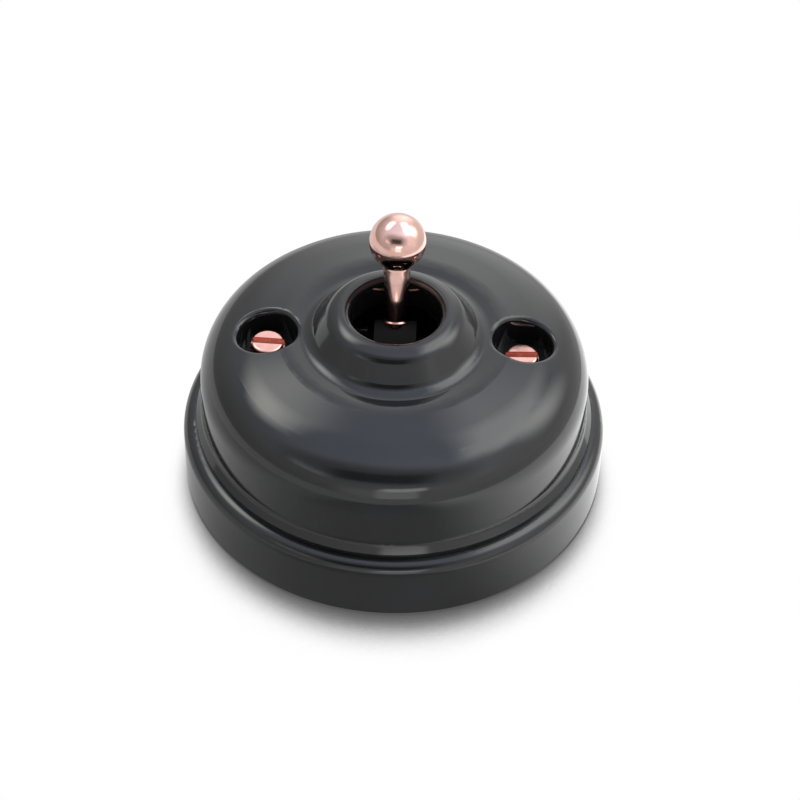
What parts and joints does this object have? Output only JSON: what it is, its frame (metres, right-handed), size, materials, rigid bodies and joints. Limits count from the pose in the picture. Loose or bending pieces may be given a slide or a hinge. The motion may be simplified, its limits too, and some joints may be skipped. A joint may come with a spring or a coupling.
{
  "type": "porcelain toggle switch",
  "caption": "Round surface-mounted wall switch in black glazed porcelain: ball-ended copper toggle lever in an open well, slotted copper cover screws, rocking contact inside.",
  "frame": {"origin": "middle of the flat back of the base, on the wall", "axes": "+Z out of the wall; the two cover screws lie on the X axis; the lever swings in the YZ plane and leans towards +Y at rest"},
  "size_m": [0.07, 0.07, 0.0469],
  "materials": {
    "black_glaze": "deep black gloss glaze",
    "copper": "polished copper plating on brass",
    "brass": "plain brass",
    "silver": "silver contact face",
    "black_moulding": "black moulded thermoset",
    "steel": "zinc-plated steel"
  },
  "bodies": {
    "switch_body": {"porcelain_base": "black_glaze", "porcelain_cover": "black_glaze", "cover_screws": "copper", "base_inserts": "brass", "pivot_pin": "steel", "housing_lid": "black_moulding", "lid_screws": "steel", "switch_housing": "black_moulding", "mechanism_screws": "steel", "mechanism_nuts": "steel", "fixed_contact_a": "brass", "fixed_contact_b": "brass", "fixed_contact_tips": "silver", "fulcrum_terminal": "brass", "terminal_block_a": "brass", "terminal_block_b": "brass", "terminal_block_common": "brass", "terminal_screws": "steel"},
    "lever": {"lever": "copper", "lever_rocker": "black_moulding", "toggle_spring": "steel"},
    "plunger": {"plunger": "steel"},
    "rocking_contact": {"rocking_contact": "brass", "rocking_contact_tips": "silver"}
  },
  "joints": [
    {"name": "lever_hinge", "type": "hinge", "parent": "switch_body", "child": "lever", "pos_m": [0, 0, 0.024], "axis": [1, 0, 0], "range_deg": [0, 44]},
    {"name": "plunger_slide", "type": "slide", "parent": "lever", "child": "plunger", "axis": [0, 0.3746, 0.9272], "range_m": [0, 0.00035], "stiffness_N_per_m": 600},
    {"name": "contact_rock", "type": "hinge", "parent": "switch_body", "child": "rocking_contact", "pos_m": [0, 0, 0.0092], "axis": [1, 0, 0], "range_deg": [-20, 0]}
  ],
  "couplings": [
    {"joint": "contact_rock", "follows": "lever_hinge", "ratio": -0.45454}
  ]
}
